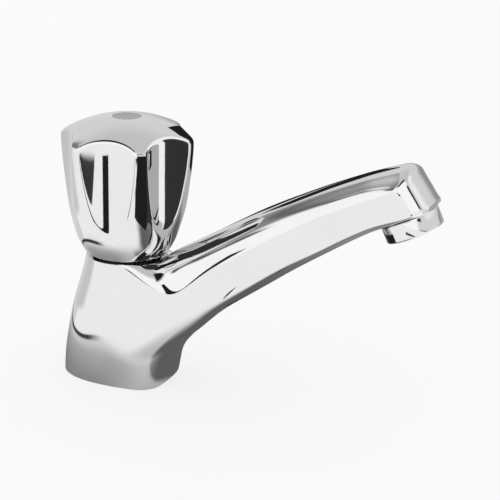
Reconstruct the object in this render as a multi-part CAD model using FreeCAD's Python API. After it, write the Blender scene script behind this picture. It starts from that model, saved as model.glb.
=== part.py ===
import FreeCAD, Part
import math
import os

# Pillar basin tap with a fluted knob and a fixed spout, in millimetres.
# Origin: axis of the knob and the inlet tail, at the deck surface. +Z up, spout along +X.

V = FreeCAD.Vector
Y_AXIS = V(0, 1, 0)
Z_AXIS = V(0, 0, 1)

# --- driving dimensions -------------------------------------------------------------
# Body pillar: rear, front and side reach, and the roundness of its rear and front halves.
PILLAR_LEVELS = [
    {"z": 0.0, "rear": 27.2, "front": 19.2, "side": 17.5, "rear_power": 2.3, "front_power": 3.0},
    {"z": 8.0, "rear": 27.0, "front": 21.4, "side": 17.4, "rear_power": 2.25, "front_power": 2.8},
    {"z": 20.0, "rear": 25.0, "front": 26.6, "side": 17.2, "rear_power": 2.15, "front_power": 2.5},
    {"z": 32.0, "rear": 22.4, "front": 26.0, "side": 16.9, "rear_power": 2.1, "front_power": 2.3},
    {"z": 43.0, "rear": 19.2, "front": 20.6, "side": 16.5, "rear_power": 2.0, "front_power": 2.0},
    {"z": 54.0, "rear": 16.2, "front": 16.2, "side": 16.2, "rear_power": 2.0, "front_power": 2.0},
]
SECTION_POINTS = 20
BODY_TOP = 52.3
NECK_FACE_RADIUS = 17.0

# Outlet: the point where its axis leaves the flat underside of the nose, and the tilt.
OUTLET = V(118.2, 0, 84.65)
NOSE_TILT = math.radians(25.5)
ALONG_NOSE = V(math.cos(NOSE_TILT), 0, math.sin(NOSE_TILT))
UP_NOSE = V(-math.sin(NOSE_TILT), 0, math.cos(NOSE_TILT))
NOSE_HALF_WIDTH = 11.85
NOSE_END = 12.4
NOSE_SHOULDER = 11.6
NOSE_SHOULDER_SIDE = 6.6
NOSE_CORNER = 6.4
NOSE_BEND = 0.7
NOSE_BEND_SIDE = 0.62
NOSE_LEAN = 0.17
NOSE_CREST_ROUND = 3.5
NOSE_CREST_LEVEL = 10.5

# Spout sections from root to nose: foot on the underside, top of the crown, half width,
# height of the crown above the side's upper edge, radius of the lower corners.
SPOUT_SECTIONS = [
    {"foot": V(8, 0, 13), "top": V(-2, 0, 48), "half": 15.4, "crown": 12.0, "corner": 8.0},
    {"foot": V(32.1, 0, 24.4), "top": V(20, 0, 55.4), "half": 15.0, "crown": 12.7, "corner": 8.0},
    {"foot": V(44.4, 0, 36.1), "top": V(30.8, 0, 61.9), "half": 14.2, "crown": 12.0, "corner": 7.0},
    {"foot": V(60.8, 0, 48.3), "top": V(46.4, 0, 71.3), "half": 13.4, "crown": 10.8, "corner": 5.5},
    {"foot": V(87.7, 0, 67.2), "top": V(76.8, 0, 88.0), "half": 12.4, "crown": 8.6, "corner": 3.5},
]
NOSE_SECTIONS = [
    {"at": -13.0, "height": 20.5, "crown": 7.9, "corner": 2.5},
    {"at": 15.0, "height": 18.4, "crown": 6.8, "corner": 2.0},
]

# Inside of the body.
TAIL_RADIUS = 10.48
TAIL_BORE = 7.0
TAIL_TOP = 12.0
TAIL_LENGTH = 46.0
TAIL_CHAMFER = 1.0
PILOT_RADIUS = 9.2
PILOT_LENGTH = 5.0
PILOT_CHAMFER = 0.6
THREAD_GAP = 0.05
SEAL_THICKNESS = 1.2
PARTITION_BORE = 7.4
SEAT_RADIUS = 8.0
SEAT_BORE = 6.2
SEAT_FOOT = 18.0
SEAT_TOP = 26.0
SEAT_LIP = 1.0
CHAMBER_RADIUS = 11.2
CHAMBER_FLOOR = 22.0
WATERWAY_RADIUS = 5.8
WATERWAY = [V(6, 0, 31), V(27, 0, 39), V(60, 0, 61), V(100, 0, 84.6)]
OUTLET_DEPTH = 8.0
SPIGOT_RADIUS = 9.6
SPIGOT_BORE = 7.2
SPIGOT_LENGTH = 3.2
SPOT_FACE = 1.0
GASKET_THICKNESS = 3.0
GASKET_INSET = 2.2
GASKET_HOLE = 11.2
POCKET_INSET = 4.6
POCKET_TOP = 13.0
BOSS_RADIUS = 14.0

# Aerator at the outlet.
AERATOR_RADIUS = 11.6
AERATOR_LENGTH = 7.0
AERATOR_LIP_RADIUS = 8.2
AERATOR_LIP = 0.9
AERATOR_GASKET = 0.9
INSERT_RADIUS = 9.3
INSERT_THICKNESS = 1.2
INSERT_HOLE = 0.9
INSERT_RINGS = [(4.0, 8), (7.0, 14)]
MESH_THICKNESS = 0.3
AERATOR_CHAMFER = 0.7

# Headwork: the brass bonnet that carries the spindle.
BONNET_FOOT = 38.0
BONNET_FLANGE_RADIUS = 13.2
BONNET_FLANGE = 2.0
BONNET_SEAL = 0.8
BONNET_HEX_FLATS = 21.0
BONNET_HEX_TOP = 62.0
BONNET_NECK_RADIUS = 9.6
BONNET_TOP = 76.0
BONNET_SHOULDER = 66.0
DRUM_ROOM = 8.05
STEM_RADIUS = 5.0
RUNNING_GAP = 0.05
GUIDE_FLATS = 13.6
GUIDE_TOP = 46.5

# Spindle, jumper and valve washer.
DRUM_FOOT = 48.0
DRUM_BORE = 4.05
DRUM_BORE_TOP = 62.5
O_RING_LEVELS = [69.0, 73.0]
O_RING_SECTION = 1.2
CIRCLIP_THICKNESS = 1.0
CIRCLIP_WIDTH = 2.0
CIRCLIP_MOUTH = 2.4
THRUST_THICKNESS = 0.8
SQUARE_FLATS = 7.0
SQUARE_FOOT = 79.5
SPINDLE_TOP = 95.4
SCREW_RADIUS = 1.95
SCREW_FOOT = 84.0
SCREW_HOLE_FOOT = 82.5
WASHER_RADIUS = 8.8
WASHER_THICKNESS = 4.0
SEATING_GAP = 0.05
JUMPER_PLATE_RADIUS = 9.2
JUMPER_PLATE = 1.6
JUMPER_HEX_TOP = 42.0
JUMPER_STEM_TOP = 56.0
WASHER_STUD_RADIUS = 2.5
WASHER_NUT_FLATS = 7.0
WASHER_NUT_THICKNESS = 2.4

# Knob: six lobes between scooped flutes, under a shallow dome.
KNOB_PROFILE = [
    V(16.3, 0, 53.3), V(19.4, 0, 58.5), V(21.4, 0, 64.0), V(23.9, 0, 73.0),
    V(26.0, 0, 86.0), V(27.1, 0, 96.0), V(27.3, 0, 101.4),
]
KNOB_RIM = 101.9
KNOB_RIM_ROUND = 0.5
DOME_TOP = 110.0
LOBES = 6
FIRST_LOBE = -52.2
FLUTE_RADIUS = 24.0
FLUTE_DEPTH_RADIUS = 21.9
FLUTE_LEAN = math.radians(0.35)
KNOB_MOUTH_RADIUS = 14.2
KNOB_ROOM_RADIUS = 18.2
KNOB_ROOM_LEVEL = 68.0
KNOB_ROOM_TOP = 101.0
KNOB_BOSS_RADIUS = 9.4
KNOB_BOSS_FOOT = 80.0
BUSH_RADIUS = 6.5
BUSH_FOOT = 80.6
BUSH_TOP = 95.0
WEB_FOOT = 95.6
WEB_TOP = 98.2
SCREW_CLEARANCE = 2.3
WELL_RADIUS = 5.0
SCREW_HEAD_RADIUS = 4.0
SCREW_HEAD = 2.6
SCREW_SLOT = 1.0
SCREW_SLOT_DEPTH = 1.2
BUTTON_RADIUS = 5.7
BUTTON_RECESS = 1.9
BUTTON_SINK = 0.3
BUTTON_CLIP_RADIUS = 4.9
BUTTON_CLIP_WALL = 0.9
BUTTON_CLIP_LENGTH = 4.0

# Clamp below the deck.
CLAMP_TOP = -18.0
CLAMP_WASHER_RADIUS = 17.0
CLAMP_WASHER = 2.0
NUT_FLANGE_RADIUS = 16.0
NUT_FLANGE = 2.0
NUT_HEX_FLATS = 27.0
NUT_HEIGHT = 8.0
NUT_CHAMFER = 0.6


# --- helpers ------------------------------------------------------------------------
def cylinder(radius, low, high):
    return Part.makeCylinder(radius, high - low, V(0, 0, low), Z_AXIS)


def ring(outer, inner, low, high):
    return cylinder(outer, low, high).cut(cylinder(inner, low - 1, high + 1))


def prism(flats, sides, low, high):
    corner = flats / 2 / math.cos(math.pi / sides)
    points = []
    for i in range(sides + 1):
        angle = 2 * math.pi * (i + 0.5) / sides
        points.append(V(corner * math.cos(angle), corner * math.sin(angle), low))
    face = Part.Face(Part.makePolygon(points))
    return face.extrude(V(0, 0, high - low))


def revolve(points):
    face = Part.Face(Part.makePolygon(points + [points[0]]))
    return face.revolve(V(0, 0, 0), Z_AXIS, 360)


def super_oval(level, inset=0.0):
    """Closed smooth outline, rounder behind than in front."""
    points = []
    for i in range(SECTION_POINTS):
        angle = 2 * math.pi * (i + 0.5) / SECTION_POINTS
        cos_a = math.cos(angle)
        sin_a = math.sin(angle)
        reach = level["front"] if cos_a > 0 else level["rear"]
        power = level["front_power"] if cos_a > 0 else level["rear_power"]
        x = (reach - inset) * math.copysign(abs(cos_a) ** (2 / power), cos_a)
        y = (level["side"] - inset) * math.copysign(abs(sin_a) ** (2 / power), sin_a)
        points.append(V(x, y, level["z"]))
    curve = Part.BSplineCurve()
    curve.interpolate(points, PeriodicFlag=True)
    return Part.Wire(curve.toShape())


def arched_section(foot, top, half, crown, corner):
    """Flat underside, rounded lower corners, upright sides and an arched top."""
    height = (top - foot).Length
    up = (top - foot).normalize()
    shoulder = height - crown
    mid = corner * (1 - math.sqrt(0.5))

    def at(side, rise):
        return foot + Y_AXIS * side + up * rise

    edges = [
        Part.Arc(at(-half, shoulder), at(0, height), at(half, shoulder)),
        Part.LineSegment(at(half, shoulder), at(half, corner)),
        Part.Arc(at(half, corner), at(half - mid, mid), at(half - corner, 0)),
        Part.LineSegment(at(half - corner, 0), at(corner - half, 0)),
        Part.Arc(at(corner - half, 0), at(mid - half, mid), at(-half, corner)),
        Part.LineSegment(at(-half, corner), at(-half, shoulder)),
    ]
    return Part.Wire([edge.toShape() for edge in edges])


def at_outlet(shape):
    """Move a shape from the knob's axis to the outlet's axis, +Z up into the nose."""
    shape.Placement = FreeCAD.Placement(OUTLET, FreeCAD.Rotation(Y_AXIS, -math.degrees(NOSE_TILT)))
    return shape


def save(shape, node):
    shape.exportStep(os.path.join("parts", node + ".step"))
    print(node, "valid" if shape.isValid() else "BROKEN", len(shape.Solids), round(shape.Volume, 1))


# --- body -----------------------------------------------------------------------------
def pillar():
    return Part.makeLoft([super_oval(level) for level in PILLAR_LEVELS], True, False)


def nose_trim():
    """Prism with the nose's bowed end, leaning back a little towards the top."""
    rise = UP_NOSE - ALONG_NOSE * NOSE_LEAN
    below = 40.0
    far = 30.0
    start = -160.0

    def at(along, side):
        return OUTLET + ALONG_NOSE * along + Y_AXIS * side - rise * below

    bend = NOSE_CORNER + (NOSE_SHOULDER - NOSE_CORNER) * NOSE_BEND
    bend_side = NOSE_SHOULDER_SIDE + (NOSE_HALF_WIDTH - NOSE_SHOULDER_SIDE) * NOSE_BEND_SIDE
    right_corner = at(NOSE_CORNER, -NOSE_HALF_WIDTH)
    left_corner = at(NOSE_CORNER, NOSE_HALF_WIDTH)
    right_shoulder = at(NOSE_SHOULDER, -NOSE_SHOULDER_SIDE)
    left_shoulder = at(NOSE_SHOULDER, NOSE_SHOULDER_SIDE)
    edges = [
        Part.LineSegment(at(NOSE_CORNER, far), at(start, far)),
        Part.LineSegment(at(start, far), at(start, -far)),
        Part.LineSegment(at(start, -far), at(NOSE_CORNER, -far)),
        Part.LineSegment(at(NOSE_CORNER, -far), right_corner),
        Part.Arc(right_corner, at(bend, -bend_side), right_shoulder),
        Part.Arc(right_shoulder, at(NOSE_END, 0), left_shoulder),
        Part.Arc(left_shoulder, at(bend, bend_side), left_corner),
        Part.LineSegment(left_corner, at(NOSE_CORNER, far)),
    ]
    return Part.Face(Part.Wire([edge.toShape() for edge in edges])).extrude(rise * 3 * below)


def nose_crest(shape):
    """Edges where the arched top meets the end of the nose."""
    crest = []
    for edge in shape.Edges:
        ends = [vertex.Point - OUTLET for vertex in edge.Vertexes]
        if all(end.dot(ALONG_NOSE) > 0 and end.dot(UP_NOSE) > NOSE_CREST_LEVEL for end in ends):
            crest.append(edge)
    return crest


def spout():
    wires = [arched_section(**section) for section in SPOUT_SECTIONS]
    for section in NOSE_SECTIONS:
        foot = OUTLET + ALONG_NOSE * section["at"]
        top = foot + UP_NOSE * section["height"]
        wires.append(arched_section(foot, top, NOSE_HALF_WIDTH, section["crown"], section["corner"]))
    shape = Part.makeLoft(wires, True, False).common(nose_trim())
    return shape.makeFillet(NOSE_CREST_ROUND, nose_crest(shape))


def waterway():
    path = WATERWAY + [OUTLET + UP_NOSE * OUTLET_DEPTH]
    shape = Part.makeSphere(WATERWAY_RADIUS, path[0])
    for start, end in zip(path, path[1:]):
        run = end - start
        shape = shape.fuse(Part.makeCylinder(WATERWAY_RADIUS, run.Length, start, run))
        shape = shape.fuse(Part.makeSphere(WATERWAY_RADIUS, end))
    return shape


def underside_room():
    base = PILLAR_LEVELS[0]
    recess = Part.Face(super_oval(base, GASKET_INSET)).extrude(V(0, 0, GASKET_THICKNESS))
    pocket = Part.Face(super_oval(base, POCKET_INSET)).extrude(V(0, 0, POCKET_TOP))
    return recess.fuse(pocket.cut(cylinder(BOSS_RADIUS, GASKET_THICKNESS, POCKET_TOP)))


def tap_body():
    shape = pillar().fuse(spout())
    shape = shape.cut(cylinder(NECK_FACE_RADIUS, BODY_TOP, BODY_TOP + 20))
    shape = shape.cut(at_outlet(cylinder(AERATOR_RADIUS + SPOT_FACE, -SPIGOT_LENGTH, 0)))
    shape = shape.fuse(at_outlet(cylinder(SPIGOT_RADIUS, -SPIGOT_LENGTH, 1)))
    shape = shape.cut(underside_room())
    shape = shape.cut(waterway())
    shape = shape.cut(cylinder(TAIL_RADIUS + THREAD_GAP, -1, TAIL_TOP + SEAL_THICKNESS))
    shape = shape.cut(cylinder(PARTITION_BORE, TAIL_TOP, SEAT_FOOT + 1))
    shape = shape.cut(cylinder(SEAT_RADIUS + THREAD_GAP, SEAT_FOOT, CHAMBER_FLOOR + 1))
    shape = shape.cut(cylinder(CHAMBER_RADIUS, CHAMBER_FLOOR, BODY_TOP + 1))
    return shape.cut(at_outlet(cylinder(SPIGOT_BORE, -SPIGOT_LENGTH - 1, OUTLET_DEPTH)))


def inlet_tail():
    """Threaded length with a plain pilot end that enters the supply connector."""
    foot = PILOT_LENGTH - TAIL_LENGTH
    return revolve([
        V(TAIL_BORE, 0, -TAIL_LENGTH), V(PILOT_RADIUS - PILOT_CHAMFER, 0, -TAIL_LENGTH),
        V(PILOT_RADIUS, 0, PILOT_CHAMFER - TAIL_LENGTH), V(PILOT_RADIUS, 0, foot),
        V(TAIL_RADIUS - TAIL_CHAMFER, 0, foot), V(TAIL_RADIUS, 0, foot + TAIL_CHAMFER),
        V(TAIL_RADIUS, 0, TAIL_TOP - TAIL_CHAMFER), V(TAIL_RADIUS - TAIL_CHAMFER, 0, TAIL_TOP),
        V(TAIL_BORE, 0, TAIL_TOP),
    ])


def tail_seal():
    return ring(TAIL_RADIUS - 0.2, TAIL_BORE + 0.3, TAIL_TOP, TAIL_TOP + SEAL_THICKNESS)


def deck_gasket():
    outline = Part.Face(super_oval(PILLAR_LEVELS[0], GASKET_INSET + RUNNING_GAP))
    shape = outline.extrude(V(0, 0, GASKET_THICKNESS - RUNNING_GAP))
    return shape.cut(cylinder(GASKET_HOLE, -1, GASKET_THICKNESS + 1))


def valve_seat():
    shape = ring(SEAT_RADIUS, SEAT_BORE, SEAT_FOOT, SEAT_TOP)
    lip = Part.makeCone(SEAT_RADIUS + SEAT_LIP, SEAT_RADIUS - SEAT_LIP, 2 * SEAT_LIP,
                        V(0, 0, SEAT_TOP - 2 * SEAT_LIP), Z_AXIS)
    return shape.common(lip.fuse(cylinder(SEAT_RADIUS, SEAT_FOOT, SEAT_TOP - 2 * SEAT_LIP)))


# --- outlet ----------------------------------------------------------------------------
def aerator_ring():
    foot = -AERATOR_LENGTH
    rim = AERATOR_RADIUS - AERATOR_CHAMFER
    bore = SPIGOT_RADIUS + THREAD_GAP
    shape = revolve([
        V(AERATOR_LIP_RADIUS, 0, foot), V(rim, 0, foot), V(AERATOR_RADIUS, 0, foot + AERATOR_CHAMFER),
        V(AERATOR_RADIUS, 0, -0.1), V(bore, 0, -0.1), V(bore, 0, foot + AERATOR_LIP),
        V(AERATOR_LIP_RADIUS, 0, foot + AERATOR_LIP),
    ])
    return at_outlet(shape)


def aerator_gasket():
    top = -SPIGOT_LENGTH
    return at_outlet(ring(SPIGOT_RADIUS - 0.2, SPIGOT_BORE, top - AERATOR_GASKET, top))


def aerator_insert():
    top = -SPIGOT_LENGTH - AERATOR_GASKET
    shape = cylinder(INSERT_RADIUS, top - INSERT_THICKNESS, top)
    holes = [cylinder(INSERT_HOLE, top - 3, top + 1)]
    for radius, count in INSERT_RINGS:
        for i in range(count):
            angle = 2 * math.pi * i / count
            hole = cylinder(INSERT_HOLE, top - 3, top + 1)
            hole.translate(V(radius * math.cos(angle), radius * math.sin(angle), 0))
            holes.append(hole)
    return at_outlet(shape.cut(Part.Compound(holes)))


def aerator_mesh():
    top = -SPIGOT_LENGTH - AERATOR_GASKET - INSERT_THICKNESS
    return at_outlet(cylinder(INSERT_RADIUS, top - MESH_THICKNESS, top))


# --- headwork --------------------------------------------------------------------------
def bonnet():
    flange_foot = BODY_TOP + BONNET_SEAL
    flange_top = flange_foot + BONNET_FLANGE
    shape = cylinder(CHAMBER_RADIUS - THREAD_GAP, BONNET_FOOT, flange_foot)
    shape = shape.fuse(cylinder(BONNET_FLANGE_RADIUS, flange_foot, flange_top))
    shape = shape.fuse(prism(BONNET_HEX_FLATS, 6, flange_top, BONNET_HEX_TOP))
    shape = shape.fuse(cylinder(BONNET_NECK_RADIUS, BONNET_HEX_TOP, BONNET_TOP))
    shape = shape.cut(cylinder(DRUM_ROOM, GUIDE_TOP, BONNET_SHOULDER))
    shape = shape.cut(prism(GUIDE_FLATS, 6, BONNET_FOOT - 1, GUIDE_TOP + 1))
    return shape.cut(cylinder(STEM_RADIUS + RUNNING_GAP, BONNET_SHOULDER - 1, BONNET_TOP + 1))


def bonnet_seal():
    return ring(BONNET_FLANGE_RADIUS - 0.4, CHAMBER_RADIUS + 0.1, BODY_TOP, BODY_TOP + BONNET_SEAL)


def spindle():
    groove = STEM_RADIUS - O_RING_SECTION
    drum = DRUM_ROOM - RUNNING_GAP
    circlip_foot = BONNET_TOP + THRUST_THICKNESS
    shape = cylinder(drum, DRUM_FOOT, BONNET_SHOULDER - RUNNING_GAP)
    shape = shape.fuse(cylinder(STEM_RADIUS, DRUM_FOOT, SQUARE_FOOT))
    shape = shape.fuse(prism(SQUARE_FLATS, 4, SQUARE_FOOT, SPINDLE_TOP))
    for level in O_RING_LEVELS:
        shape = shape.cut(ring(STEM_RADIUS + 1, groove, level, level + O_RING_SECTION))
    shape = shape.cut(ring(STEM_RADIUS + 1, groove, circlip_foot, circlip_foot + CIRCLIP_THICKNESS))
    shape = shape.cut(cylinder(DRUM_BORE, DRUM_FOOT - 1, DRUM_BORE_TOP))
    return shape.cut(cylinder(SCREW_RADIUS + RUNNING_GAP, SCREW_HOLE_FOOT, SPINDLE_TOP + 1))


def spindle_o_rings():
    tubes = []
    for level in O_RING_LEVELS:
        tubes.append(ring(STEM_RADIUS, STEM_RADIUS - O_RING_SECTION, level, level + O_RING_SECTION))
    return Part.Compound(tubes)


def thrust_washer():
    return ring(BONNET_NECK_RADIUS - 1, STEM_RADIUS + RUNNING_GAP, BONNET_TOP,
                BONNET_TOP + THRUST_THICKNESS - RUNNING_GAP)


def circlip():
    foot = BONNET_TOP + THRUST_THICKNESS
    shape = ring(STEM_RADIUS + CIRCLIP_WIDTH, STEM_RADIUS - O_RING_SECTION, foot, foot + CIRCLIP_THICKNESS)
    mouth = Part.makeBox(10, CIRCLIP_MOUTH, 4, V(0, -CIRCLIP_MOUTH / 2, foot - 1))
    return shape.cut(mouth)


def jumper():
    plate_foot = SEAT_TOP + SEATING_GAP + WASHER_THICKNESS
    plate_top = plate_foot + JUMPER_PLATE
    shape = cylinder(JUMPER_PLATE_RADIUS, plate_foot, plate_top)
    shape = shape.fuse(prism(GUIDE_FLATS - 2 * RUNNING_GAP, 6, plate_top, JUMPER_HEX_TOP))
    shape = shape.fuse(cylinder(DRUM_BORE - RUNNING_GAP, JUMPER_HEX_TOP, JUMPER_STEM_TOP))
    stud_foot = SEAT_TOP + SEATING_GAP - WASHER_NUT_THICKNESS
    return shape.fuse(cylinder(WASHER_STUD_RADIUS, stud_foot, plate_foot))


def valve_washer():
    foot = SEAT_TOP + SEATING_GAP
    return ring(WASHER_RADIUS, WASHER_STUD_RADIUS + RUNNING_GAP, foot, foot + WASHER_THICKNESS)


def washer_nut():
    top = SEAT_TOP + SEATING_GAP
    foot = top - WASHER_NUT_THICKNESS
    shape = prism(WASHER_NUT_FLATS, 6, foot, top)
    return shape.cut(cylinder(WASHER_STUD_RADIUS + RUNNING_GAP, foot - 1, top + 1))


# --- knob ------------------------------------------------------------------------------
def dome_height(radius):
    rise = DOME_TOP - KNOB_RIM
    edge = KNOB_PROFILE[-1].x
    sphere = (edge * edge + rise * rise) / (2 * rise)
    return DOME_TOP - sphere + math.sqrt(sphere * sphere - radius * radius)


def knob_blank():
    side = Part.BSplineCurve()
    side.interpolate(KNOB_PROFILE)
    edge = KNOB_PROFILE[-1]
    rim = V(edge.x - KNOB_RIM_ROUND, 0, dome_height(edge.x - KNOB_RIM_ROUND))
    top = V(0, 0, DOME_TOP)
    middle = V(edge.x / 2, 0, dome_height(edge.x / 2))
    foot = KNOB_PROFILE[0]
    edges = [
        side.toShape(),
        Part.LineSegment(edge, rim).toShape(),
        Part.Arc(rim, middle, top).toShape(),
        Part.LineSegment(top, V(0, 0, foot.z)).toShape(),
        Part.LineSegment(V(0, 0, foot.z), foot).toShape(),
    ]
    return Part.Face(Part.Wire(edges)).revolve(V(0, 0, 0), Z_AXIS, 360)


def flute(angle):
    """Nearly upright cylinder that scoops one flute, which runs out where the knob narrows."""
    axis_radius = FLUTE_DEPTH_RADIUS + FLUTE_RADIUS
    down = V(-math.sin(FLUTE_LEAN), 0, -math.cos(FLUTE_LEAN))
    shape = Part.makeCylinder(FLUTE_RADIUS, 80, V(axis_radius, 0, DOME_TOP) - down * 10, down)
    shape.rotate(V(0, 0, 0), Z_AXIS, angle)
    return shape


def knob_room():
    foot = KNOB_PROFILE[0].z
    return revolve([
        V(0, 0, foot - 1), V(KNOB_MOUTH_RADIUS, 0, foot - 1), V(KNOB_MOUTH_RADIUS, 0, foot + 2),
        V(KNOB_ROOM_RADIUS, 0, KNOB_ROOM_LEVEL), V(KNOB_ROOM_RADIUS, 0, KNOB_ROOM_TOP),
        V(0, 0, KNOB_ROOM_TOP),
    ])


def knob():
    shape = knob_blank()
    for i in range(LOBES):
        shape = shape.cut(flute(FIRST_LOBE + 360 / LOBES * (i + 0.5)))
    shape = shape.cut(knob_room())
    shape = shape.fuse(cylinder(KNOB_BOSS_RADIUS, KNOB_BOSS_FOOT, KNOB_ROOM_TOP + 1))
    shape = shape.cut(cylinder(BUSH_RADIUS + RUNNING_GAP, KNOB_BOSS_FOOT - 1, WEB_FOOT))
    shape = shape.cut(cylinder(SCREW_CLEARANCE, WEB_FOOT - 1, WEB_TOP + 1))
    shape = shape.cut(cylinder(WELL_RADIUS, WEB_TOP, DOME_TOP + 1))
    return shape.cut(cylinder(BUTTON_RADIUS + RUNNING_GAP, DOME_TOP - BUTTON_RECESS, DOME_TOP + 1))


def drive_bush():
    shape = cylinder(BUSH_RADIUS, BUSH_FOOT, BUSH_TOP)
    return shape.cut(prism(SQUARE_FLATS + 2 * RUNNING_GAP, 4, BUSH_FOOT - 1, BUSH_TOP + 1))


def knob_screw():
    head_top = WEB_TOP + SCREW_HEAD
    shape = cylinder(SCREW_RADIUS, SCREW_FOOT, WEB_TOP)
    shape = shape.fuse(cylinder(SCREW_HEAD_RADIUS, WEB_TOP, head_top))
    slot = Part.makeBox(12, SCREW_SLOT, 2, V(-6, -SCREW_SLOT / 2, head_top - SCREW_SLOT_DEPTH))
    return shape.cut(slot)


def index_button():
    cap_foot = DOME_TOP - BUTTON_RECESS
    shape = cylinder(BUTTON_RADIUS, cap_foot, DOME_TOP - BUTTON_SINK)
    clip = ring(BUTTON_CLIP_RADIUS, BUTTON_CLIP_RADIUS - BUTTON_CLIP_WALL,
                cap_foot - BUTTON_CLIP_LENGTH, cap_foot)
    return shape.fuse(clip)


# --- clamp below the deck -----------------------------------------------------------------
def clamp_washer():
    return ring(CLAMP_WASHER_RADIUS, TAIL_RADIUS + RUNNING_GAP, CLAMP_TOP - CLAMP_WASHER, CLAMP_TOP)


def back_nut():
    top = CLAMP_TOP - CLAMP_WASHER - RUNNING_GAP
    foot = top - NUT_HEIGHT
    shape = cylinder(NUT_FLANGE_RADIUS, top - NUT_FLANGE, top)
    corner = NUT_HEX_FLATS / 2 / math.cos(math.pi / 6)
    cone = Part.makeCone(corner - NUT_CHAMFER, corner + NUT_HEIGHT, NUT_HEIGHT + NUT_CHAMFER,
                         V(0, 0, foot), Z_AXIS)
    shape = shape.fuse(prism(NUT_HEX_FLATS, 6, foot, top - NUT_FLANGE).common(cone))
    return shape.cut(cylinder(TAIL_RADIUS + RUNNING_GAP, foot - 1, top + 1))


PIECES = [
    tap_body, inlet_tail, tail_seal, deck_gasket, valve_seat,
    aerator_ring, aerator_gasket, aerator_insert, aerator_mesh,
    bonnet, bonnet_seal, spindle, spindle_o_rings, thrust_washer, circlip,
    jumper, valve_washer, washer_nut,
    knob, drive_bush, knob_screw, index_button,
    clamp_washer, back_nut,
]

os.makedirs("parts", exist_ok=True)
for piece in PIECES:
    save(piece(), piece.__name__)
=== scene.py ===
import math

import bmesh
import bpy
from mathutils import Matrix, Vector


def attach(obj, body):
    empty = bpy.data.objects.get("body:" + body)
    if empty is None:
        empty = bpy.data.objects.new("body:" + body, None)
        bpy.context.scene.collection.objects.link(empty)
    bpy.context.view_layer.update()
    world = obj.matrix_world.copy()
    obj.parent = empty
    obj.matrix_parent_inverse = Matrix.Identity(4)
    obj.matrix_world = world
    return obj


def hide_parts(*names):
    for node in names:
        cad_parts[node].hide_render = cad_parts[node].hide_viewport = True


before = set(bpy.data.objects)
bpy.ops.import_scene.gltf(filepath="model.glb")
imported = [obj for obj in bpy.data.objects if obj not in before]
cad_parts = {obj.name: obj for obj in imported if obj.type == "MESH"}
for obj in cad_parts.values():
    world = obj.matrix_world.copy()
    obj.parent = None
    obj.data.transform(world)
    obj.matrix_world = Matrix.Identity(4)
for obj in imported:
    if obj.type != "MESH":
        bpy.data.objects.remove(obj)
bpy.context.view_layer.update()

MM = 0.001
FITTING_ROUNDS = 8

# --- view and studio ---------------------------------------------------------------------
VIEW_AZIMUTH = math.radians(22.0)
VIEW_ELEVATION = math.radians(19.02)
VIEW_ROLL = math.radians(1.11)
VIEW_DISTANCE = 700 * MM
VIEW_ASIDE = 49.89 * MM
VIEW_HEIGHT = 54.34 * MM
FOCAL_PIXELS = 1720.1
PHOTO_WIDTH = 500
SENSOR = 36.0

# --- body casting, in millimetres ----------------------------------------------------------
BODY_TOP = 52.3
# Pillar rings: height, reach behind and in front of the axis, half width, and how square
# the outline is behind and in front.
PILLAR_RINGS = [
    (0.0, 27.2, 19.2, 17.5, 2.3, 3.5),
    (6.5, 27.05, 20.9, 17.4, 2.25, 3.2),
    (14.5, 26.1, 24.0, 17.3, 2.2, 2.8),
    (24.0, 24.3, 27.0, 17.15, 2.15, 2.5),
    (34.0, 21.9, 25.4, 16.85, 2.08, 2.2),
    (44.0, 18.9, 20.4, 16.55, 2.0, 2.0),
    (BODY_TOP, 16.7, 17.2, 16.5, 2.0, 2.0),
]
PILLAR_COLUMNS = 16
OPENING_COLUMNS = 6
OPENING_FOOT_RING = 2
RING_POINTS = 20
SIDE_SPACING = 2.6
CORNER_CUT = 0.293
# Spout rings: foot x and z, top x and z, half width, height of the crown, corner radius.
SPOUT_RINGS = [
    (32.1, 24.4, 20.0, 55.4, 15.0, 12.7, 8.0),
    (44.4, 36.1, 30.8, 61.9, 14.2, 12.0, 7.0),
    (60.8, 48.3, 46.4, 71.3, 13.4, 10.8, 5.5),
    (74.5, 58.3, 61.5, 80.2, 12.9, 9.7, 4.5),
    (87.7, 67.2, 76.8, 88.0, 12.4, 8.6, 3.5),
    (97.2, 73.4, 87.3, 93.0, 12.1, 8.2, 3.0),
]
OUTLET = Vector((118.2, 0.0, 84.65))
NOSE_TILT = math.radians(25.5)
ALONG_NOSE = Vector((math.cos(NOSE_TILT), 0, math.sin(NOSE_TILT)))
UP_NOSE = Vector((-math.sin(NOSE_TILT), 0, math.cos(NOSE_TILT)))
ACROSS = Vector((0, 1, 0))
NOSE_HALF = 11.85
# Nose rings: place along the nose, height, height of the crown, corner radius.
NOSE_RINGS = [
    (-13.0, 20.5, 7.9, 2.5),
    (-6.0, 20.1, 7.6, 2.3),
]
# End of the nose: reach on the middle line, bow and lean, and the bend round to its sides.
NOSE_END = 12.4
NOSE_BOW = 0.8
NOSE_LEAN = 0.17
NOSE_SHOULDER_SIDE = 6.6
NOSE_CORNER = 6.4
NOSE_CORNER_BEND = 5.2
NOSE_CORNER_POWERS = (2.1, 0.62)
# Top of the nose: height on the middle line, fall to the sides, and the crest's round.
NOSE_CROWN = 19.0
NOSE_CROWN_FALL = 7.0
NOSE_CROWN_HALF = 13.4
NOSE_CREST_ROUND = 3.4
NOSE_CREST_FALL = 2.2
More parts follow.
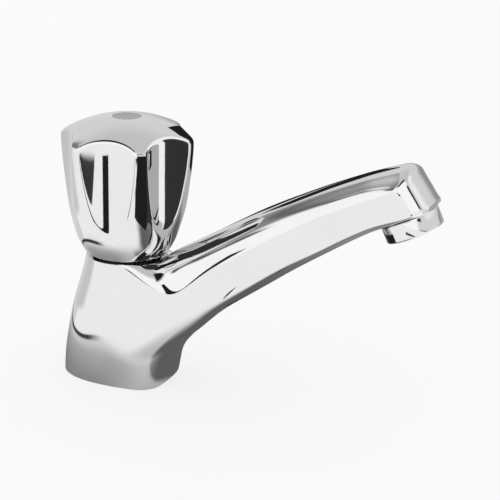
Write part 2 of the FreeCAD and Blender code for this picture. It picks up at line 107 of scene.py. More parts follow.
# Rings round the end of the nose, steps 0 and 1 before its edge, 2 on it and 3 after it.
END_SIDES = (-11.55, -9.3, -5.0, 0.0, 5.0, 9.3, 11.55)
END_SIDE_HALF = (NOSE_HALF, NOSE_HALF, 11.78, 11.4)
END_SIDE_ALONG = (2.6, 5.2, 6.3, 7.4)
END_SIDE_START = 2.0
END_CORNER_LIFT = (0.6, 0.6, 0.65, 1.4)
END_CORNER_TUCK = 0.965
END_SHOULDER_DROP = (0.0, 0.0, 0.2, 0.9)
END_FOOT_LIFT = (0.0, 0.0, 0.35, 1.5)
END_FOOT_BACK = (6.5, 1.6, 0.4, 0.0)
# Along the top, drop and step back are shares of the crest's round.
END_TOP_DROP = (-0.09, 0.0, 0.3, 1.0)
END_TOP_BACK = (1.15, 0.3, 0.0)
END_TOP_ALONG = 2.6
SHOULDER_CREASES = (0.05, 0.12, 0.2, 0.3, 0.35, 0.4, 0.45, 0.5)
CORNER_CREASES = (0.9, 0.7)
FOOT_CREASE = 0.85
RIM_CREASE = 0.9
NECK_CREASE = 0.7
FULL_CREASE = 1.0
CASTING_LEVELS = 3

RECESS_INSET = 2.2
RECESS_DEPTH = 3.0
NECK_FACE_RADIUS = 16.0
# Bore from the recess under the base up to the valve chamber: radius and height.
BORE_OUTLINE = [
    (10.6, 3.0), (10.6, 14.0), (7.5, 14.0), (7.5, 18.0), (8.1, 18.0), (8.1, 22.0), (11.3, 22.0),
]

# --- knob, in millimetres ------------------------------------------------------------------
# Outline of the uncut knob, foot to rim: radius and height.
KNOB_OUTLINE = [
    (16.3, 53.3), (19.4, 58.5), (21.4, 64.0), (23.9, 73.0),
    (26.0, 86.0), (27.1, 96.0), (27.3, 101.4), (27.3, 106.0),
]
KNOB_COLUMNS = 480
KNOB_ROWS = 64
LOBES = 6
FIRST_FLUTE = math.radians(-22.2)
DOME_TOP = 110.0
DOME_RADIUS = 50.05
FLUTE_RADIUS = 24.0
FLUTE_DEPTH_RADIUS = 21.9
FLUTE_LEAN = math.tan(math.radians(0.35))
FLUTE_BLEND = 0.9
RIM_ROUND = 1.6
RIM_GUESS = 103.0
RIM_SEARCHES = 12
RIM_STEPS = 8
DOME_STEPS = 16
RECESS_RADIUS = 5.75
# Lip at the foot: how far inside the outline, and how far above the foot.
FOOT_LIP = [(1.5, 0.0), (0.4, 0.05)]
WALL_START = 0.5
# Lip of the recess: how far outside its radius, and how far below the dome.
RECESS_LIP = [(0.07, 0.06), (0.0, 0.25)]
DOME_END = 0.25
# Inside of the knob, from the recess for the disc down through the boss and out at the foot.
KNOB_INSIDE = [
    (5.75, 108.1), (5.0, 108.1), (5.0, 98.2), (2.3, 98.2), (2.3, 95.6), (6.55, 95.6),
    (6.55, 80.0), (9.4, 80.0), (9.4, 101.0), (18.2, 101.0), (18.2, 68.0), (14.2, 55.3), (14.2, 53.6),
]

# --- tail, nut and outlet, in millimetres ----------------------------------------------------
THREAD_CREST = 10.46
THREAD_ROOT = 9.32
THREAD_PITCH = 1.814
THREAD_FOOT = -40.2
THREAD_TURNS = 27
THREAD_STEPS = 36
# The wound ridge: how deep it sits in the core, its edge and foot, and its rounded crest.
RIDGE_SINK = 0.12
RIDGE_EDGE = 0.02
RIDGE_FOOT = 0.1
CREST_DROP = 0.1
CREST_HALF = 0.22
TAIL_OUTLINE = [
    (7.0, -46.0), (8.6, -46.0), (9.2, -45.4), (9.2, -41.2), (8.9, -40.9), (8.9, -40.5), (9.32, -40.1),
    (9.32, 11.2), (9.32, 12.0), (7.0, 12.0),
]
NUT_FLATS = 27.0
NUT_OUTLINE = [
    (10.53, -27.4), (11.2, -28.05), (14.2, -28.05), (14.6, -27.9), (15.0, -27.72), (15.4, -27.5),
    (15.58, -27.4), (15.58, -22.3), (15.2, -22.1), (15.9, -21.95), (16.0, -21.7), (16.0, -20.3),
    (15.8, -20.05), (11.1, -20.05), (10.53, -20.6),
]
NUT_FLAT_LEVELS = (-28.2, -22.2)
CLAMP_OUTLINE = [(10.53, -20.0), (17.0, -20.0), (17.0, -18.0), (10.53, -18.0)]
RING_OUTLINE = [(8.2, -7.0), (11.5, -7.0), (11.5, -0.1), (9.65, -0.1), (9.65, -6.1), (8.2, -6.1)]
DISC_OUTLINE = [
    (0, 109.35), (4.2, 109.42), (5.0, 109.62), (5.7, 109.62), (5.7, 108.1), (4.9, 108.1),
    (4.9, 104.1), (4.0, 104.1), (4.0, 108.1), (0, 108.1),
]
NET_RADIUS = 9.0
NET_LEVEL = -5.45
NET_CELLS = 30
NET_WIRE = 0.16
NET_RIM = [(8.6, -5.59), (9.28, -5.59), (9.28, -5.31), (8.6, -5.31)]
CORNER_ANGLE = 0.35


def new_piece(name, bm, body, replaced):
    """Finish a bmesh as a piece that rides on a body and stands for CAD nodes."""
    mesh = bpy.data.meshes.new(name)
    bm.to_mesh(mesh)
    bm.free()
    piece = bpy.data.objects.new(name, mesh)
    bpy.context.collection.objects.link(piece)
    for polygon in mesh.polygons:
        polygon.use_smooth = True
    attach(piece, body)
    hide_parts(*replaced)
    return piece


def oval_point(ring, angle, inset=0.0):
    """Point of a pillar ring's outline at an angle about the axis, in millimetres."""
    height, rear, front, side, rear_power, front_power = ring
    cos_a = math.cos(angle)
    sin_a = math.sin(angle)
    reach = front if cos_a > 0 else rear
    power = front_power if cos_a > 0 else rear_power
    x = (reach - inset) * math.copysign(abs(cos_a) ** (2 / power), cos_a)
    y = (side - inset) * math.copysign(abs(sin_a) ** (2 / power), sin_a)
    return Vector((x, y, height))


def arched_point(index, half, height, crown, corner):
    """Across and up of one of a spout ring's 20 points: 7 below, 3 on a side, 7 on top."""
    shoulder = height - crown
    if index in (0, 6):
        side, lift = half - CORNER_CUT * corner, CORNER_CUT * corner
        return (side, lift) if index else (-side, lift)
    if index < 6:
        return (half - corner) * (-1, -0.5, 0, 0.5, 1)[index - 1], 0.0
    if index < 10:
        return half, corner + (shoulder - corner) * (index - 7) / SIDE_SPACING
    if index < 17:
        radius = (half * half + crown * crown) / (2 * crown)
        spread = math.asin(min(1.0, half / radius))
        angle = spread * (13 - index) / 3
        return radius * math.sin(angle), height - radius * (1 - math.cos(angle))
    return -half, corner + (shoulder - corner) * (19 - index) / SIDE_SPACING


def end_reach(side, lift):
    """How far along the nose its bowed, leaning end lies at a place on it."""
    off = abs(side)
    if off < NOSE_SHOULDER_SIDE:
        reach = NOSE_END - NOSE_BOW * (off / NOSE_SHOULDER_SIDE) ** 2
    else:
        share = min(1.0, (off - NOSE_SHOULDER_SIDE) / (NOSE_HALF - NOSE_SHOULDER_SIDE))
        inner, outer = NOSE_CORNER_POWERS
        reach = NOSE_CORNER + NOSE_CORNER_BEND * (1 - share ** inner) ** outer
    return reach - NOSE_LEAN * lift


def crown_lift(side):
    """Height of the nose's arched top near its end, before the crest is rounded."""
    fall = 1 - math.sqrt(max(0.0, 1 - (side / NOSE_CROWN_HALF) ** 2))
    whole_fall = 1 - math.sqrt(1 - (NOSE_HALF / NOSE_CROWN_HALF) ** 2)
    return NOSE_CROWN - NOSE_CROWN_FALL * fall / whole_fall


def crest_round(side):
    return NOSE_CREST_ROUND - NOSE_CREST_FALL * (side / NOSE_HALF) ** 2


def nose_ring(step):
    """Points of a ring round the end: steps 0 and 1 before its edge, 2 on it, 3 after."""
    places = []
    for i in range(RING_POINTS):
        if i < 7:
            column, row = i, 0
        elif i < 10:
            column, row = 6, i - 6
        elif i < 17:
            column, row = 16 - i, 4
        else:
            column, row = 0, RING_POINTS - i
        side = END_SIDES[column]
        top = crown_lift(side)
        fold = crest_round(side)
        if column in (0, 6):
            side = math.copysign(END_SIDE_HALF[step], side)
            lift = END_SIDE_START + (top - END_SIDE_START) * (row - 1) / SIDE_SPACING
            if row == 0:
                side *= END_CORNER_TUCK
                lift = END_CORNER_LIFT[step]
            elif row == 4:
                lift = top - END_SHOULDER_DROP[step]
            along = END_SIDE_ALONG[step] - NOSE_LEAN * lift
        elif row == 0:
            lift = END_FOOT_LIFT[step]
            along = end_reach(side, lift) - END_FOOT_BACK[step]
        else:
            lift = top - END_TOP_DROP[step] * fold
            along = END_TOP_ALONG
            if step:
                along = end_reach(side, lift) - END_TOP_BACK[step - 1] * fold
        places.append(OUTLET + ALONG_NOSE * along + ACROSS * side + UP_NOSE * lift)
    return places


def ring_places():
    """Places of every spout ring's points, root to nose, in millimetres."""
    rings = []
    for foot_x, foot_z, top_x, top_z, half, crown, corner in SPOUT_RINGS:
        foot = Vector((foot_x, 0, foot_z))
        rise = Vector((top_x, 0, top_z)) - foot
        up = rise.normalized()
        rings.append([foot + ACROSS * side + up * lift for side, lift in
                      (arched_point(i, half, rise.length, crown, corner) for i in range(RING_POINTS))])
    for along, height, crown, corner in NOSE_RINGS:
        foot = OUTLET + ALONG_NOSE * along
        rings.append([foot + ACROSS * side + UP_NOSE * lift for side, lift in
                      (arched_point(i, NOSE_HALF, height, crown, corner) for i in range(RING_POINTS))])
    return rings + [nose_ring(step) for step in range(4)]


def extrude_ring(bm, ring, places):
    """Extrude an ordered ring of points to new places and give back the new ring."""
    edges = [bm.edges.get((a, b)) for a, b in zip(ring, ring[1:] + ring[:1])]
    made = set(bmesh.ops.extrude_edge_only(bm, edges=edges)["geom"])
    new = [next(e.other_vert(v) for e in v.link_edges if e.other_vert(v) in made) for v in ring]
    for vertex, place in zip(new, places):
        vertex.co = place
    return new


def crease_ring(bm, ring, amount):
    """Sharpen the edges of an ordered ring of points."""
    layer = bm.edges.layers.float.get("crease_edge")
    for a, b in zip(ring, ring[1:] + ring[:1]):
        bm.edges.get((a, b))[layer] = amount


def pass_through(piece, places):
    """Move a cage's points until its smooth surface passes through the given places."""
    goal = [place * MM for place in places]
    for _ in range(FITTING_ROUNDS):
        bpy.context.view_layer.update()
        smooth = piece.evaluated_get(bpy.context.evaluated_depsgraph_get()).data
        gaps = [goal[i] - smooth.vertices[i].co for i in range(len(goal))]
        for vertex, gap in zip(piece.data.vertices, gaps):
            vertex.co += gap
        piece.data.update()


def pillar_places(level, inset=0.0):
    return [oval_point(level, 2 * math.pi * i / PILLAR_COLUMNS, inset) for i in range(PILLAR_COLUMNS)]


def circle_places(radius, height):
    turns = [2 * math.pi * i / PILLAR_COLUMNS for i in range(PILLAR_COLUMNS)]
    return [Vector((radius * math.cos(a), radius * math.sin(a), height)) for a in turns]


def cast_pillar(bm):
    """Pillar rings from the deck up, with its front faces open for the spout."""
    first = bmesh.ops.create_circle(bm, segments=PILLAR_COLUMNS, radius=1)["verts"]
    ring = sorted(first, key=lambda v: math.atan2(v.co.y, v.co.x) % (2 * math.pi))
    for vertex, place in zip(ring, pillar_places(PILLAR_RINGS[0])):
        vertex.co = place
    rings = [ring]
    for level in PILLAR_RINGS[1:]:
        rings.append(extrude_ring(bm, rings[-1], pillar_places(level)))
    half = OPENING_COLUMNS // 2
    opened = []
    for j in range(OPENING_FOOT_RING, len(rings) - 1):
        for i in range(-half, half):
            corners = {rings[j][i], rings[j][i + 1], rings[j + 1][i], rings[j + 1][i + 1]}
            opened += [f for f in rings[j][i].link_faces if set(f.verts) == corners]
    bmesh.ops.delete(bm, geom=opened, context="FACES_KEEP_BOUNDARY")
    return rings


def cast_spout(bm, pillar):
    """Rings from the pillar's opening along the spout, closed by the nose's end face."""
    half = OPENING_COLUMNS // 2
    top = len(pillar) - 1
    front = range(-half, half + 1)
    sides = range(OPENING_FOOT_RING + 1, top)
    ring = [pillar[OPENING_FOOT_RING][i] for i in front]
    ring += [pillar[j][half] for j in sides]
    ring += [pillar[top][i] for i in reversed(front)]
    ring += [pillar[j][-half] for j in reversed(sides)]
    rings = [ring]
    for places in ring_places():
        rings.append(extrude_ring(bm, rings[-1], places))
    rim = rings[-1]
    lower = [bm.edges.get((a, b)) for a, b in zip(rim[0:6], rim[1:7])]
    upper = [bm.edges.get((a, b)) for a, b in zip(rim[10:16], rim[11:17])]
    filled = bmesh.ops.grid_fill(bm, edges=lower + upper)["faces"]
    for vertex in {v for face in filled for v in face.verts} - set(rim):
        away = vertex.co - OUTLET
        lift = away.dot(UP_NOSE)
        vertex.co += ALONG_NOSE * (end_reach(vertex.co.y, lift) - away.dot(ALONG_NOSE))
    return rings


def body_casting():
    """Pillar and spout as one smooth cage, with the recess and the bore below closed inside."""
    bm = bmesh.new()
    bm.edges.layers.float.new("crease_edge")
    pillar = cast_pillar(bm)
    spout = cast_spout(bm, pillar)
    base = PILLAR_RINGS[0]
    foot = pillar[0]
    crease_ring(bm, foot, FOOT_CREASE)
    rim = extrude_ring(bm, foot, pillar_places(base, RECESS_INSET))
    crease_ring(bm, rim, RIM_CREASE)
    recess = [place + Vector((0, 0, RECESS_DEPTH)) for place in pillar_places(base, RECESS_INSET)]
    bore = extrude_ring(bm, rim, recess)
    crease_ring(bm, bore, FULL_CREASE)
    for radius, height in BORE_OUTLINE:
        bore = extrude_ring(bm, bore, circle_places(radius, height))
        crease_ring(bm, bore, FULL_CREASE)
    neck = pillar[-1]
    crease_ring(bm, neck, NECK_CREASE)
    seat = extrude_ring(bm, neck, circle_places(NECK_FACE_RADIUS, BODY_TOP))
    mouth = extrude_ring(bm, seat, circle_places(BORE_OUTLINE[-1][0], BODY_TOP))
    crease_ring(bm, mouth, FULL_CREASE)
    bmesh.ops.bridge_loops(bm, edges=[e for e in bm.edges if e.is_boundary])
    crease = bm.edges.layers.float.get("crease_edge")
    for (near, far), amount in zip(zip(spout[2:-3], spout[3:-2]), SHOULDER_CREASES):
        for i in (10, 16):
            bm.edges.get((near[i], far[i]))[crease] = amount
    for low, high, amount in zip(pillar, pillar[1:], CORNER_CREASES):
        for i in (2, -2):
            bm.edges.get((low[i], high[i]))[crease] = amount
    bmesh.ops.recalc_face_normals(bm, faces=bm.faces)
    places = [v.co.copy() for v in bm.verts]
    bmesh.ops.scale(bm, vec=(MM, MM, MM), verts=bm.verts)
    piece = new_piece("body_casting", bm, "tap", ["tap_body"])
    smooth = piece.modifiers.new("smooth", "SUBSURF")
    smooth.levels = smooth.render_levels = CASTING_LEVELS
    smooth.use_limit_surface = True
    pass_through(piece, places)
    return piece


def outline_radius(height):
    """Radius of the uncut knob at a height, on a smooth line through its outline."""
    points = KNOB_OUTLINE
    k = 0
    while k < len(points) - 2 and height > points[k + 1][1]:
        k += 1
    (r0, z0), (r1, z1) = points[k], points[k + 1]
    before = points[k - 1] if k else (2 * r0 - r1, 2 * z0 - z1)
    after = points[k + 2] if k + 2 < len(points) else (2 * r1 - r0, 2 * z1 - z0)
    slope0 = (r1 - before[0]) / (z1 - before[1])
    slope1 = (after[0] - r0) / (after[1] - z0)
    t = (height - z0) / (z1 - z0)
    span = z1 - z0
    return ((1 + 2 * t) * (1 - t) ** 2 * r0 + t * (1 - t) ** 2 * span * slope0
            + t * t * (3 - 2 * t) * r1 + t * t * (t - 1) * span * slope1)


def wall_radius(angle, height):
    """Radius of the fluted wall: the outline, or the scooped flute where that is nearer."""
    sector = 2 * math.pi / LOBES
    off = (angle - FIRST_FLUTE + sector / 2) % sector - sector / 2
    reach = FLUTE_DEPTH_RADIUS - (DOME_TOP - height) * FLUTE_LEAN + FLUTE_RADIUS
    scoop = reach * math.cos(off) - math.sqrt(FLUTE_RADIUS ** 2 - (reach * math.sin(off)) ** 2)
    outline = outline_radius(height)
    share = min(1.0, max(0.0, 0.5 + (outline - scoop) / (2 * FLUTE_BLEND)))
    return outline + (scoop - outline) * share - FLUTE_BLEND * share * (1 - share)


def dome_height(radius):
    return DOME_TOP - DOME_RADIUS + math.sqrt(DOME_RADIUS ** 2 - radius ** 2)


def knob_column(angle):
    """Radius and height of every row up one side of the knob, foot to recess."""
    rim = RIM_GUESS
    for _ in range(RIM_SEARCHES):
        rim = dome_height(wall_radius(angle, rim))
    edge = wall_radius(angle, rim)
    foot_radius, foot = KNOB_OUTLINE[0]
    rows = [(foot_radius - inset, foot + lift) for inset, lift in FOOT_LIP]
    last = rim - RIM_ROUND
    for k in range(KNOB_ROWS + 1):
        height = foot + WALL_START + (last - foot - WALL_START) * k / KNOB_ROWS
        rows.append((wall_radius(angle, height), height))
    start = rows[-1]
    crest = (edge - RIM_ROUND, dome_height(edge - RIM_ROUND))
    for k in range(1, RIM_STEPS):
        t = k / RIM_STEPS
        rows.append(((1 - t) ** 2 * start[0] + 2 * t * (1 - t) * edge + t * t * crest[0],
                     (1 - t) ** 2 * start[1] + 2 * t * (1 - t) * rim + t * t * crest[1]))
    for k in range(DOME_STEPS + 1):
        radius = crest[0] + (RECESS_RADIUS + DOME_END - crest[0]) * k / DOME_STEPS
        rows.append((radius, dome_height(radius)))
    rows += [(RECESS_RADIUS + out, dome_height(RECESS_RADIUS) - drop) for out, drop in RECESS_LIP]
    return rows + KNOB_INSIDE


def knob_shell():
    """Rings raised one above another from the foot, over the dome and down inside."""
    bm = bmesh.new()
    first = bmesh.ops.create_circle(bm, segments=KNOB_COLUMNS, radius=MM)["verts"]
    ring = sorted(first, key=lambda v: math.atan2(v.co.y, v.co.x) % (2 * math.pi))
    turns = [2 * math.pi * i / KNOB_COLUMNS for i in range(KNOB_COLUMNS)]
    columns = [knob_column(angle) for angle in turns]

    def row_places(row):
        ends = [column[row] for column in columns]
        return [Vector((radius * math.cos(a), radius * math.sin(a), height)) * MM
                for (radius, height), a in zip(ends, turns)]

    for vertex, place in zip(ring, row_places(0)):
        vertex.co = place
    for row in range(1, len(columns[0])):
        ring = extrude_ring(bm, ring, row_places(row))
    bmesh.ops.bridge_loops(bm, edges=[e for e in bm.edges if e.is_boundary])
    bmesh.ops.recalc_face_normals(bm, faces=bm.faces)
    piece = new_piece("fluted_knob", bm, "handle", ["knob"])
    piece.data.set_sharp_from_angle(angle=math.radians(40))
    return piece


def turned(name, outline, body, replaced, soft=0.0, steps=96, place=None, flats=None):
    """Spin an outline about the axis, cut six flats if given their levels, soften its corners."""
    bm = bmesh.new()
    points = [bm.verts.new((radius * MM, 0, height * MM)) for radius, height in outline]
    closed = outline[0][0] > 0
    ends = points[1:] + points[:1] if closed else points[1:]
    edges = [bm.edges.new((a, b)) for a, b in zip(points, ends)]
    bmesh.ops.spin(bm, geom=points + edges, axis=(0, 0, 1), angle=2 * math.pi, steps=steps, use_merge=True)
    bmesh.ops.remove_doubles(bm, verts=bm.verts, dist=1e-7)
    if flats:
        across, low, high = flats
        for vertex in bm.verts:
            off = math.atan2(vertex.co.y, vertex.co.x) % (math.pi / 3) - math.pi / 6
            limit = across / 2 * MM / math.cos(off)
            if low <= vertex.co.z / MM <= high and vertex.co.xy.length > limit:
                vertex.co.xy *= limit / vertex.co.xy.length
    bmesh.ops.recalc_face_normals(bm, faces=bm.faces)
    if soft:
        corners = [e for e in bm.edges if len(e.link_faces) == 2 and e.calc_face_angle() > CORNER_ANGLE]
        bmesh.ops.bevel(bm, geom=corners, offset=soft * MM, affect="EDGES", segments=3, profile=0.5,
                        material=-1)
    if place:
        bmesh.ops.transform(bm, matrix=place, verts=bm.verts)
    piece = new_piece(name, bm, body, replaced)
    piece.data.set_sharp_from_angle(angle=math.radians(50))
    return piece


def outlet_place():
    """Turn and shift from the upright axis to the outlet's axis."""
    turn = Matrix.Rotation(-NOSE_TILT, 4, "Y")
    return Matrix.Translation(OUTLET * MM) @ turn


def thread_ridge(bm):
    """One V ridge wound up the tail, running out into the core at both ends."""
    half = THREAD_PITCH / 2
    inner = THREAD_ROOT - RIDGE_SINK
    section = [
        (inner, RIDGE_EDGE), (THREAD_ROOT, RIDGE_FOOT), (THREAD_CREST - CREST_DROP, half - CREST_HALF),
        (THREAD_CREST, half), (THREAD_CREST - CREST_DROP, half + CREST_HALF),
        (THREAD_ROOT, THREAD_PITCH - RIDGE_FOOT), (inner, THREAD_PITCH - RIDGE_EDGE),
    ]
    points = [bm.verts.new((radius * MM, 0, (THREAD_FOOT + lift) * MM)) for radius, lift in section]
    face = bm.faces.new(points)
    made = bmesh.ops.spin(bm, geom=[face], axis=(0, 0, 1), angle=2 * math.pi * THREAD_TURNS,
                          steps=THREAD_TURNS * THREAD_STEPS,
                          dvec=(0, 0, THREAD_PITCH * MM / THREAD_STEPS))["geom_last"]
    ends = points + [v for v in made if isinstance(v, bmesh.types.BMVert)]
    for vertex in ends:
        vertex.co.xy *= inner * MM / vertex.co.xy.length


def threaded_tail():
    """Tube with a plain pilot end and a wound pipe thread."""
    bm = bmesh.new()
    points = [bm.verts.new((radius * MM, 0, height * MM)) for radius, height in TAIL_OUTLINE]
    edges = [bm.edges.new((a, b)) for a, b in zip(points, points[1:] + points[:1])]
    bmesh.ops.spin(bm, geom=points + edges, axis=(0, 0, 1), angle=2 * math.pi, steps=96, use_merge=True)
    thread_ridge(bm)
    bmesh.ops.recalc_face_normals(bm, faces=bm.faces)
    piece = new_piece("threaded_tail", bm, "tap", ["inlet_tail"])
    piece.data.set_sharp_from_angle(angle=math.radians(35))
    return piece


def wire_net():
    """Woven-looking net of fine wire in a round rim, under the holed disc."""
    bm = bmesh.new()
    bmesh.ops.create_grid(bm, x_segments=NET_CELLS, y_segments=NET_CELLS, size=NET_RADIUS * MM)
    outside = [v for v in bm.verts if v.co.length > NET_RADIUS * MM]
    bmesh.ops.delete(bm, geom=outside, context="VERTS")
    bmesh.ops.delete(bm, geom=[v for v in bm.verts if not v.link_faces], context="VERTS")
    bmesh.ops.wireframe(bm, faces=bm.faces, thickness=NET_WIRE * MM, use_replace=True, use_boundary=True,
                        use_even_offset=True)
    bmesh.ops.translate(bm, verts=bm.verts, vec=(0, 0, NET_LEVEL * MM))
    points = [bm.verts.new((radius * MM, 0, height * MM)) for radius, height in NET_RIM]
    edges = [bm.edges.new((a, b)) for a, b in zip(points, points[1:] + points[:1])]
    bmesh.ops.spin(bm, geom=points + edges, axis=(0, 0, 1), angle=2 * math.pi, steps=72, use_merge=True)
    bmesh.ops.recalc_face_normals(bm, faces=bm.faces)
    bmesh.ops.transform(bm, matrix=outlet_place(), verts=bm.verts)
    return new_piece("wire_net", bm, "tap", ["aerator_mesh"])


PATCH_DETAIL = 4.0
PATCH_EDGES = (0.38, 0.62)
GRAIN_EDGES = (0.3, 0.7)
GRAIN_SHARE = 0.35
TOOL_RING_SCALE = 0.314
TOOL_RING_WANDER = 0.6
TOOL_RING_DETAIL = 40.0
TOOL_RING_BUMP = (0.25, 0.00002)


def feed(tree, given, socket):
    """Link a node's output to a socket, or set the socket to a plain value."""
    if hasattr(given, "is_output"):
        tree.links.new(given, socket)
    else:
        socket.default_value = given


def math_node(tree, operation, *values):
    node = tree.nodes.new("ShaderNodeMath")
    node.operation = operation
    for socket, value in zip(node.inputs, values):
        feed(tree, value, socket)
    return node.outputs[0]


def product(tree, first, *others):
    for other in others:
        first = math_node(tree, "MULTIPLY", first, other)
    return first


def soft_step(tree, value, low, high, start=0.0, end=1.0):
    node = tree.nodes.new("ShaderNodeMapRange")
    node.interpolation_type = "SMOOTHSTEP"
    tree.links.new(value, node.inputs["Value"])
    node.inputs["From Min"].default_value = low
    node.inputs["From Max"].default_value = high
    node.inputs["To Min"].default_value = start
    node.inputs["To Max"].default_value = end
    return node.outputs["Result"]


def blend_value(tree, share, value, other):
    node = tree.nodes.new("ShaderNodeMix")
    for socket, given in zip((node.inputs[0], node.inputs[2], node.inputs[3]), (share, value, other)):
        feed(tree, given, socket)
    return node.outputs[0]


def blend_colour(tree, share, colour, other):
    node = tree.nodes.new("ShaderNodeMix")
    node.data_type = "RGBA"
    tree.links.new(share, node.inputs[0])
    node.inputs[6].default_value = (*colour, 1)
    node.inputs[7].default_value = (*other, 1)
    return node.outputs[2]


def mix_shaders(tree, share, first, second):
    node = tree.nodes.new("ShaderNodeMixShader")
    for socket, given in zip(node.inputs, (share, first, second)):
        feed(tree, given, socket)
    return node.outputs[0]


def noise_on(tree, scale, stretch=(1, 1, 1), detail=3.0):
    """Noise in the object's own space, its grain stretched along the axes."""
    place = tree.nodes.new("ShaderNodeTexCoord").outputs["Object"]
    mapping = tree.nodes.new("ShaderNodeMapping")
    mapping.inputs["Scale"].default_value = stretch
    tree.links.new(place, mapping.inputs["Vector"])
    noise = tree.nodes.new("ShaderNodeTexNoise")
    noise.inputs["Scale"].default_value = scale
    noise.inputs["Detail"].default_value = detail
    tree.links.new(mapping.outputs[0], noise.inputs["Vector"])
    return noise.outputs[0]


def bump_with(tree, height, strength, depth):
    bump = tree.nodes.new("ShaderNodeBump")
    bump.inputs["Strength"].default_value = strength
    bump.inputs["Distance"].default_value = depth
    tree.links.new(height, bump.inputs["Height"])
    tree.links.new(bump.outputs[0], tree.nodes["Principled BSDF"].inputs["Normal"])


def finish(name, light, dark, metallic, rough, grain, stretch=(1, 1, 1), bump=None, patch=60.0):
    """Surface whose colour drifts from light to dark in patches and whose grain sets its sheen."""
    material = bpy.data.materials.new(name)
    material.use_nodes = True
    tree = material.node_tree
    shader = tree.nodes["Principled BSDF"]
    shader.inputs["Metallic"].default_value = metallic
    patches = soft_step(tree, noise_on(tree, patch, detail=PATCH_DETAIL), *PATCH_EDGES)
    fine = noise_on(tree, grain, stretch)
    share = blend_value(tree, GRAIN_SHARE, patches, fine)
    tree.links.new(blend_colour(tree, share, light, dark), shader.inputs["Base Color"])
    tree.links.new(soft_step(tree, fine, *GRAIN_EDGES, *rough), shader.inputs["Roughness"])
    if bump:
        bump_with(tree, fine, *bump)
    return material


def chrome(name):
    return finish(name, light=(0.865, 0.87, 0.875), dark=(0.84, 0.845, 0.85), metallic=1.0,
                  rough=(0.03, 0.05), grain=900.0)


def turned_metal(name, light, dark, rough, pitch):
    """Machined metal with fine tool rings round the upright axis."""
    material = finish(name, light, dark, 1.0, rough, grain=700.0, stretch=(1, 1, 6), patch=120.0)
    tree = material.node_tree
    place = tree.nodes.new("ShaderNodeTexCoord").outputs["Object"]
    wave = tree.nodes.new("ShaderNodeTexWave")
    wave.bands_direction = "Z"
    wave.inputs["Scale"].default_value = TOOL_RING_SCALE / pitch
    wave.inputs["Distortion"].default_value = TOOL_RING_WANDER
    wave.inputs["Detail Scale"].default_value = TOOL_RING_DETAIL
    tree.links.new(place, wave.inputs["Vector"])
    bump_with(tree, wave.outputs[1], *TOOL_RING_BUMP)
    return material


casting = body_casting()
casting.data.materials.append(chrome("polished chrome"))
knob = knob_shell()
knob.data.materials.append(chrome("polished chrome of the knob"))
ring = turned("outlet_ring", RING_OUTLINE, "tap", ["aerator_ring"], soft=0.6,
              place=outlet_place())
ring.data.materials.append(chrome("polished chrome of the ring"))
disc = turned("index_disc", DISC_OUTLINE, "handle", ["index_button"], soft=0.15)
disc.data.materials.append(finish("grey plastic", (0.36, 0.365, 0.37), (0.32, 0.325, 0.33), metallic=0.0,
                                  rough=(0.38, 0.5), grain=1500.0, bump=(0.15, 0.00002)))
brass = turned_metal("machined brass", (0.74, 0.57, 0.29), (0.58, 0.42, 0.2), rough=(0.22, 0.36),
                     pitch=0.00025)
steel = turned_metal("stainless steel", (0.66, 0.67, 0.68), (0.56, 0.57, 0.58), rough=(0.24, 0.38),
                     pitch=0.0002)
zinc = finish("zinc-plated steel", (0.70, 0.70, 0.67), (0.52, 0.53, 0.52), metallic=1.0,
              rough=(0.3, 0.5), grain=500.0, bump=(0.2, 0.00003), patch=220.0)
rubber = finish("matt black rubber", (0.055, 0.055, 0.055), (0.03, 0.03, 0.032), metallic=0.0,
                rough=(0.62, 0.82), grain=1800.0, bump=(0.35, 0.00004))
# The fibre is darkened far below its own red as painted shade, so that the bonnet seal shows as a dark
# line in the gap under the knob.
fibre = finish("red fibre darkened as painted shade", (0.07, 0.03, 0.025), (0.03, 0.018, 0.016), metallic=0.0,
               rough=(0.45, 0.7), grain=900.0, stretch=(1, 1, 8), bump=(0.4, 0.00005))
nylon = finish("moulded white nylon", (0.80, 0.80, 0.77), (0.72, 0.715, 0.68), metallic=0.0,
               rough=(0.32, 0.46), grain=1200.0, bump=(0.15, 0.00002))
CAD_FINISHES = {
    "tail_seal": fibre, "bonnet_seal": fibre, "deck_gasket": rubber, "aerator_gasket": rubber,
    "spindle_o_rings": rubber, "valve_washer": rubber, "valve_seat": brass, "bonnet": brass,
    "spindle": brass, "jumper": brass, "washer_nut": brass, "aerator_insert": nylon,
    "thrust_washer": nylon, "drive_bush": nylon, "circlip": steel, "knob_screw": steel,
}
for node, material in CAD_FINISHES.items():
    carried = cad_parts[node].data.materials
    carried.clear()
    carried.append(material)
tail = threaded_tail()
tail.data.materials.append(brass)
nut = turned("hexagon_back_nut", NUT_OUTLINE, "nut", ["back_nut"], steps=144,
             flats=(NUT_FLATS, *NUT_FLAT_LEVELS))
nut.data.materials.append(brass)
washer = turned("clamp_ring", CLAMP_OUTLINE, "clamp", ["clamp_washer"], soft=0.35)
washer.data.materials.append(zinc)
net = wire_net()
net.data.materials.append(steel)

STUDIO_BASE = 0.72
# Cards round the tap, seen only in its gloss: middle azimuth and elevation, half width and
# half height, softness of the edge, all in degrees, and brightness.
STUDIO_CARDS = [
    ("overhead cloth", 0, 90, 400, 42, 14, 0.60),
    ("key cloth", -106, 16, 54, 34, 6, 1.05),
    ("right flag", -2, -26, 46, 26, 2, 0.035),
    ("nose corner flag", -44, 23, 7, 5, 2, 0.02),
    ("front upper cloth", 18, 40, 34, 18, 8, 0.95),
    ("right rear card", 78, -12, 32, 20, 8, 0.30),
    ("upper left flag", -122, 54, 24, 15, 5, 0.012),
    ("left grey cloth", 179, 30, 27, 16, 5, 0.27),
    ("left bar", -166, 24, 20, 2.5, 2, 0.10),
    ("left upper bar", -172, 37, 24, 2, 2, 0.14),
]


